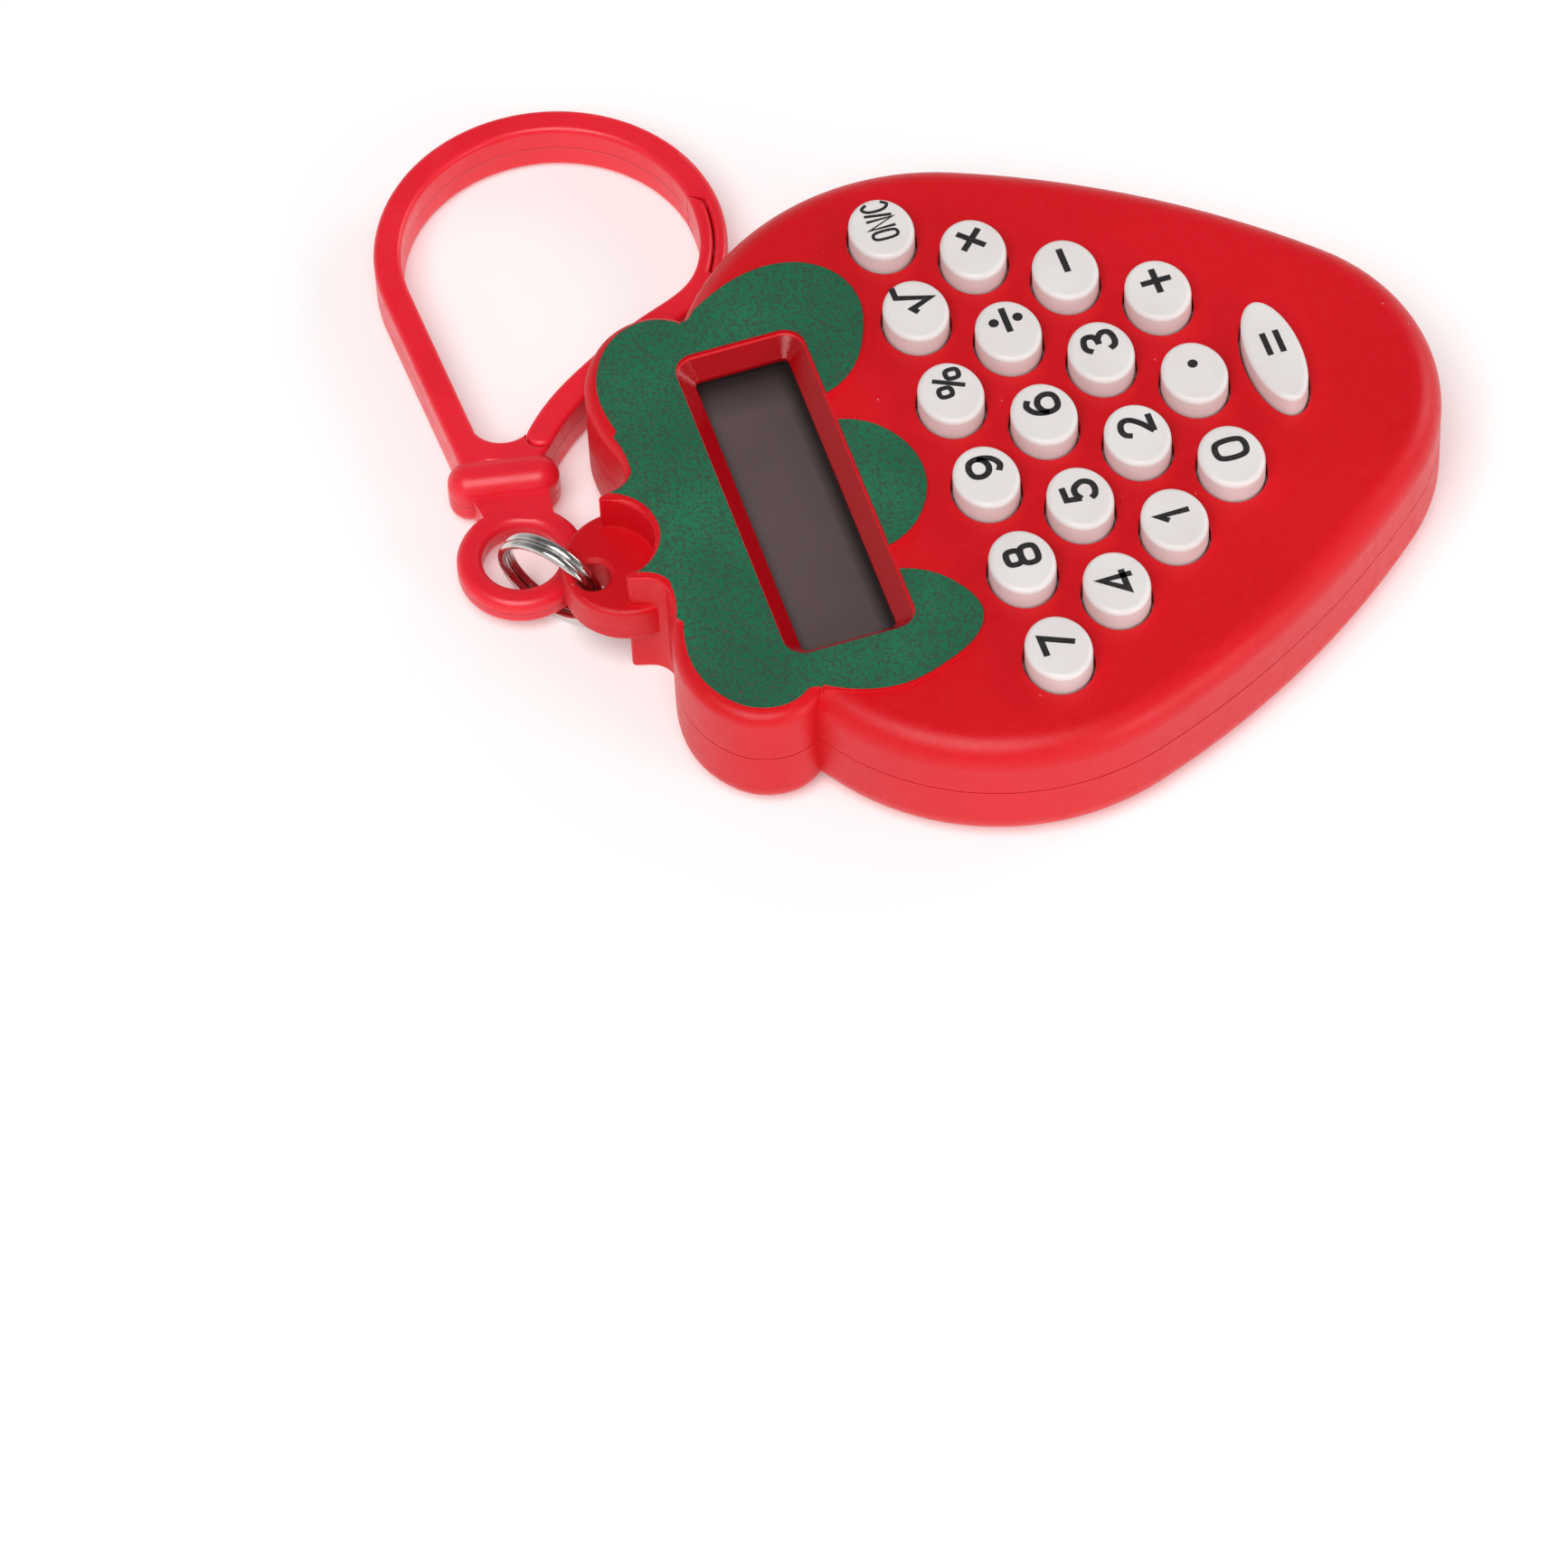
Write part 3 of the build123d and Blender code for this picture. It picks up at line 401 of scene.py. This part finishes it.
# Strokes of each sign in a box from -0.5 to 0.5: "line" has sharp corners, "curve" is smooth,
# "loop" is a closed smooth curve and "dot" is a filled spot.
STROKES = {
    "0": [("loop", ring_points(0, 0, 0.5, 0.5))],
    "1": [("line", [(-0.5, 0.22), (0.2, 0.5), (0.2, -0.5)])],
    "2": [("curve", [(-0.46, 0.22), (-0.32, 0.43), (0.0, 0.5), (0.36, 0.40), (0.43, 0.15), (0.12, -0.16),
                     (-0.48, -0.5)]),
          ("line", [(-0.48, -0.5), (0.5, -0.5)])],
    "3": [("curve", [(-0.46, 0.30), (-0.26, 0.47), (0.02, 0.5), (0.36, 0.41), (0.38, 0.17), (0.16, 0.05),
                     (-0.12, 0.03)]),
          ("curve", [(-0.12, 0.03), (0.2, 0.0), (0.47, -0.18), (0.40, -0.41), (0.0, -0.5), (-0.34, -0.45),
                     (-0.49, -0.26)])],
    "4": [("line", [(0.2, -0.5), (0.2, 0.5), (-0.5, -0.22), (0.5, -0.22)])],
    "5": [("line", [(0.42, 0.5), (-0.30, 0.5), (-0.40, 0.02)]),
          ("curve", [(-0.40, 0.02), (-0.08, 0.15), (0.27, 0.10), (0.49, -0.17), (0.34, -0.42), (0.0, -0.5),
                     (-0.35, -0.43), (-0.49, -0.28)])],
    "6": [("curve", SIX)],
    "7": [("line", [(-0.5, 0.5), (0.5, 0.5), (-0.14, -0.5)])],
    "8": [("loop", ring_points(0, 0.27, 0.38, 0.23)), ("loop", ring_points(0, -0.24, 0.48, 0.26))],
    "9": [("curve", [(-x, -y) for x, y in SIX])],
    "percent": [("loop", ring_points(-0.3, 0.22, 0.17, 0.22)), ("loop", ring_points(0.3, -0.22, 0.17, 0.22)),
                ("line", [(0.22, 0.5), (-0.22, -0.5)])],
    "root": [("line", [(-0.5, 0.0), (-0.34, 0.14), (-0.12, -0.5), (0.14, 0.5), (0.5, 0.5)])],
    "on_clear": [("loop", ring_points(-0.385, 0, 0.105, 0.47)),
                 ("line", [(-0.19, -0.5), (-0.19, 0.5), (0.04, -0.5), (0.04, 0.5)]),
                 ("line", [(0.20, 0.5), (0.10, -0.5)]),
                 ("curve", [(0.49, 0.28), (0.40, 0.48), (0.30, 0.34), (0.27, 0.0), (0.30, -0.34),
                            (0.40, -0.48), (0.49, -0.28)])],
    "divide": [("line", [(-0.5, 0.0), (0.5, 0.0)]), ("dot", [(0.0, 0.40)]), ("dot", [(0.0, -0.40)])],
    "multiply": [("line", [(-0.5, -0.5), (0.5, 0.5)]), ("line", [(-0.5, 0.5), (0.5, -0.5)])],
    "minus": [("line", [(-0.5, 0.0), (0.5, 0.0)])],
    "plus": [("line", [(-0.5, 0.0), (0.5, 0.0)]), ("line", [(0.0, -0.5), (0.0, 0.5)])],
    "equals": [("line", [(-0.5, 0.5), (0.5, 0.5)]), ("line", [(-0.5, -0.5), (0.5, -0.5)])],
    "point": [("dot", [(0.0, 0.0)])],
}
# Centre x in key pitches (the print sits a little right of each key), width and height of the
# strokes' middle lines and half the stroke's width, in mm.
LEGENDS = {
    "key_7": ("7", -2.47, 1.72, 2.4, 0.25),
    "key_8": ("8", -1.455, 1.72, 2.4, 0.25),
    "key_9": ("9", -0.405, 1.72, 2.4, 0.25),
    "key_percent": ("percent", 0.595, 2.6, 2.3, 0.20),
    "key_root": ("root", 1.625, 2.9, 2.5, 0.24),
    "key_on_clear": ("on_clear", 2.575, 3.7, 2.1, 0.13),
    "key_4": ("4", -1.995, 1.9, 2.4, 0.25),
    "key_5": ("5", -0.945, 1.72, 2.4, 0.25),
    "key_6": ("6", 0.09, 1.72, 2.4, 0.25),
    "key_divide": ("divide", 1.11, 2.4, 2.4, 0.26),
    "key_multiply": ("multiply", 2.095, 1.75, 1.75, 0.25),
    "key_1": ("1", -1.465, 0.8, 2.4, 0.25),
    "key_2": ("2", -0.42, 1.72, 2.4, 0.25),
    "key_3": ("3", 0.595, 1.72, 2.4, 0.25),
    "key_minus": ("minus", 1.59, 2.35, 0.0, 0.26),
    "key_0": ("0", -0.935, 1.72, 2.4, 0.25),
    "key_point": ("point", 0.085, 0.0, 0.0, 0.22),
    "key_plus": ("plus", 1.09, 2.4, 2.4, 0.26),
    "key_equals": ("equals", 0.075, 2.2, 1.05, 0.24),
}
DOT_RADIUS_MM = 0.40
DOT_CORNERS = 20
PRINT_LOW_MM = -0.02
PRINT_HIGH_MM = 0.012
STROKE_STEP_MM = 0.002
MITRE_LIMIT = 2.4
SMOOTH_STEPS = 7


def smooth_path(spots, closed):
    """Points of a smooth curve through the given ones (Catmull-Rom)."""
    count = len(spots)
    path = []
    for i in range(count if closed else count - 1):
        if closed:
            p0, p1, p2, p3 = (spots[(i + k) % count] for k in (-1, 0, 1, 2))
        else:
            p0, p1, p2, p3 = (spots[min(max(i + k, 0), count - 1)] for k in (-1, 0, 1, 2))
        for step in range(SMOOTH_STEPS):
            t = step / SMOOTH_STEPS
            path.append((p1 * 2 + (p2 - p0) * t + (p0 * 2 - p1 * 5 + p2 * 4 - p3) * t * t
                         + (p1 * 3 - p0 - p2 * 3 + p3) * t * t * t) / 2)
    return path if closed else path + [spots[-1]]


def add_ribbon(bm, path, closed, half_line, level):
    """A flat printed line of even width with mitred corners, as a closed thin slab."""
    count = len(path)
    rails = []
    for i, spot in enumerate(path):
        before = path[i - 1] if closed or i else None
        after = path[(i + 1) % count] if closed or i < count - 1 else None
        ways = []
        if before:
            ways.append((spot - before).normalized())
        if after:
            ways.append((after - spot).normalized())
        along = sum(ways, Vector((0, 0))).normalized()
        stretch = min(1 / max(along.dot(ways[0]), 0.01), MITRE_LIMIT)
        side = Vector((-along.y, along.x)) * half_line * stretch
        rails.append([bm.verts.new((*(spot + side * way), z)) for way, z in
                      ((1, level), (-1, level), (-1, PRINT_LOW_MM), (1, PRINT_LOW_MM))])
    pairs = list(zip(rails, rails[1:] + rails[:1])) if closed else list(zip(rails, rails[1:]))
    for first, second in pairs:
        for i in range(4):
            j = (i + 1) % 4
            bm.faces.new((first[i], first[j], second[j], second[i]))
    if not closed:
        bm.faces.new(rails[0])
        bm.faces.new(list(reversed(rails[-1])))


def add_dot(bm, centre, level):
    """A printed spot as a thin closed disc."""
    turns = [math.tau * k / DOT_CORNERS for k in range(DOT_CORNERS)]
    rim = [centre + Vector((math.cos(a), math.sin(a))) * DOT_RADIUS_MM for a in turns]
    top = [bm.verts.new((*p, level)) for p in rim]
    foot = [bm.verts.new((*p, PRINT_LOW_MM)) for p in rim]
    bm.faces.new(top)
    bm.faces.new(list(reversed(foot)))
    for i in range(DOT_CORNERS):
        j = (i + 1) % DOT_CORNERS
        bm.faces.new((top[i], foot[i], foot[j], top[j]))


def sign_mesh(name, sign, width, height, half_line):
    """Every stroke of a sign in one mesh, in mm about the sign's middle."""
    mesh = bpy.data.meshes.new(name)
    bm = bmesh.new()
    for i, (kind, spots) in enumerate(STROKES[sign]):
        spots = [Vector((x * width, y * height)) for x, y in spots]
        level = PRINT_HIGH_MM + i * STROKE_STEP_MM
        if kind == "dot":
            add_dot(bm, spots[0], level)
        elif kind == "line":
            add_ribbon(bm, spots, False, half_line, level)
        else:
            add_ribbon(bm, smooth_path(spots, kind == "loop"), kind == "loop", half_line, level)
    bmesh.ops.recalc_face_normals(bm, faces=bm.faces)
    bm.to_mesh(mesh)
    bm.free()
    return mesh


def add_piece(name, mesh, material, body):
    mesh.materials.clear()
    mesh.materials.append(material)
    piece = bpy.data.objects.new(name, mesh)
    bpy.context.collection.objects.link(piece)
    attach(piece, body)
    return piece


for node_name, (sign, x_pitches, width, height, half_line) in LEGENDS.items():
    low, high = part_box(node_name)
    place = Vector((x_pitches * KEY_PITCH * MM, (low[1] + high[1]) / 2 - PRINT_DROP * MM, high[2]))
    mesh = sign_mesh("print_" + node_name, sign, width, height, half_line)
    mesh.transform(Matrix.Translation(place) @ Matrix.Scale(MM, 4))
    add_piece("print_" + node_name, mesh, INK, node_name)

# ---- split ring: two turns of wire with a cranked step and cut ends ---------------------------
RING_CENTRE = Vector((3.2839, 37.5510, 4.63))
RING_DIRECTION_DEG = 40.0
RING_LEAN_DEG = 5.0
RING_RADIUS = 4.2
WIRE_HALF_WIDTH = 0.36
WIRE_HALF_HEIGHT = 0.33
TURN_OFFSET = 0.36
RING_START_DEG = 196.0
CRANK_DEG = 34.0
RING_GAP_DEG = 6.0
TIP_SHARE = 0.55
TIP_GROWTH = 12
WIRE_ROUNDNESS = 0.75
RING_STEPS = 200
WIRE_SIDES = 16


def split_ring_mesh():
    """The coil's mesh in metres: a squarish wire that steps aside where one turn meets the next."""
    turn, lean = math.radians(RING_DIRECTION_DEG), math.radians(RING_LEAN_DEG)
    outward = Vector((math.cos(turn), math.sin(turn), 0))
    across = Vector((-math.sin(turn), math.cos(turn), 0))
    upward = Vector((0, 0, 1)) * math.cos(lean) + across * math.sin(lean)
    axis = outward.cross(upward)
    mesh = bpy.data.meshes.new("split_ring_coil")
    bm = bmesh.new()
    rings = []
    sweep = math.tau * 2 - math.radians(RING_GAP_DEG)
    for step in range(RING_STEPS + 1):
        along = sweep * step / RING_STEPS
        spin = math.radians(RING_START_DEG) + along
        crank = (math.degrees(along) - 360 + CRANK_DEG / 2) / CRANK_DEG
        crank = min(max(crank, 0.0), 1.0)
        side = (crank * crank * (3 - 2 * crank) * 2 - 1) * TURN_OFFSET
        radial = outward * math.cos(spin) + upward * math.sin(spin)
        spot = RING_CENTRE + radial * RING_RADIUS + axis * side
        taper = min(1.0, TIP_SHARE + TIP_GROWTH * min(step, RING_STEPS - step) / RING_STEPS)
        loop = []
        for corner in range(WIRE_SIDES):
            a = math.tau * corner / WIRE_SIDES
            ca, sa = math.cos(a), math.sin(a)
            flat = abs(ca) ** WIRE_ROUNDNESS * (1 if ca > 0 else -1)
            tall = abs(sa) ** WIRE_ROUNDNESS * (1 if sa > 0 else -1)
            offset = axis * (flat * WIRE_HALF_WIDTH * taper) + radial * (tall * WIRE_HALF_HEIGHT * taper)
            loop.append(bm.verts.new((spot + offset) * MM))
        rings.append(loop)
    for first, second in zip(rings, rings[1:]):
        for i in range(WIRE_SIDES):
            j = (i + 1) % WIRE_SIDES
            bm.faces.new((first[i], first[j], second[j], second[i]))
    bm.faces.new(rings[0])
    bm.faces.new(list(reversed(rings[-1])))
    bmesh.ops.recalc_face_normals(bm, faces=bm.faces)
    bm.to_mesh(mesh)
    bm.free()
    for face in mesh.polygons:
        face.use_smooth = len(face.vertices) == 4
    return mesh


coil = add_piece("split_ring_coil", split_ring_mesh(), RING, "ring")
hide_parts("split_ring")

# ---- floor, light, camera ------------------------------------------------------------------
FLOOR_SIZE = 6.0
FLOOR_DROP = 0.00005
LAMP_TARGET = (0.01, 0, 0)
HORIZON_AT, HORIZON_SHADE = 0.25, 1.0
ZENITH_AT, ZENITH_SHADE = 0.75, 0.22
bpy.ops.mesh.primitive_plane_add(size=FLOOR_SIZE, location=(0, 0, -FLOOR_DROP))
floor = bpy.context.object
floor.name = "floor"
floor.data.materials.append(floor_surface())


def area_light(name, place, size, watts):
    """A round softbox that faces the object."""
    light = bpy.data.lights.new(name, "AREA")
    light.shape = "DISK"
    light.size = size
    light.energy = watts
    lamp = bpy.data.objects.new(name, light)
    bpy.context.collection.objects.link(lamp)
    lamp.location = place
    lamp.rotation_euler = (Vector(LAMP_TARGET) - Vector(place)).to_track_quat("-Z", "Y").to_euler()


area_light("softbox_key", (-0.35, 0.30, 0.85), 0.75, 7.0)
area_light("softbox_left", (-0.75, -0.55, 0.35), 0.5, 2.2)
area_light("softbox_back", (0.25, -0.9, 0.45), 0.5, 2.0)
world = bpy.data.worlds.new("studio")
bpy.context.scene.world = world
world.use_nodes = True
sky = world.node_tree.nodes
background = sky["Background"]
background.inputs["Strength"].default_value = WORLD_STRENGTH
direction = sky.new("ShaderNodeTexCoord")
split = sky.new("ShaderNodeSeparateXYZ")
world.node_tree.links.new(direction.outputs["Generated"], split.inputs["Vector"])
shade = sky.new("ShaderNodeValToRGB")
stops = ((HORIZON_AT, HORIZON_SHADE), (ZENITH_AT, ZENITH_SHADE))
for element, (at, grey) in zip(shade.color_ramp.elements, stops):
    element.position = at
    element.color = (grey, grey, grey, 1)
world.node_tree.links.new(split.outputs["Z"], shade.inputs["Fac"])
world.node_tree.links.new(shade.outputs["Color"], background.inputs["Color"])

camera_data = bpy.data.cameras.new("camera")
camera_data.lens = LENS_MM
camera_data.sensor_width = SENSOR_MM
camera_data.clip_start = 0.05
camera = bpy.data.objects.new("camera", camera_data)
bpy.context.collection.objects.link(camera)
camera.location = CAMERA_PLACE
camera.rotation_euler = Euler([math.radians(a) for a in CAMERA_TURN_DEG], "XYZ")
bpy.context.scene.camera = camera
bpy.context.scene.view_settings.view_transform = "Standard"
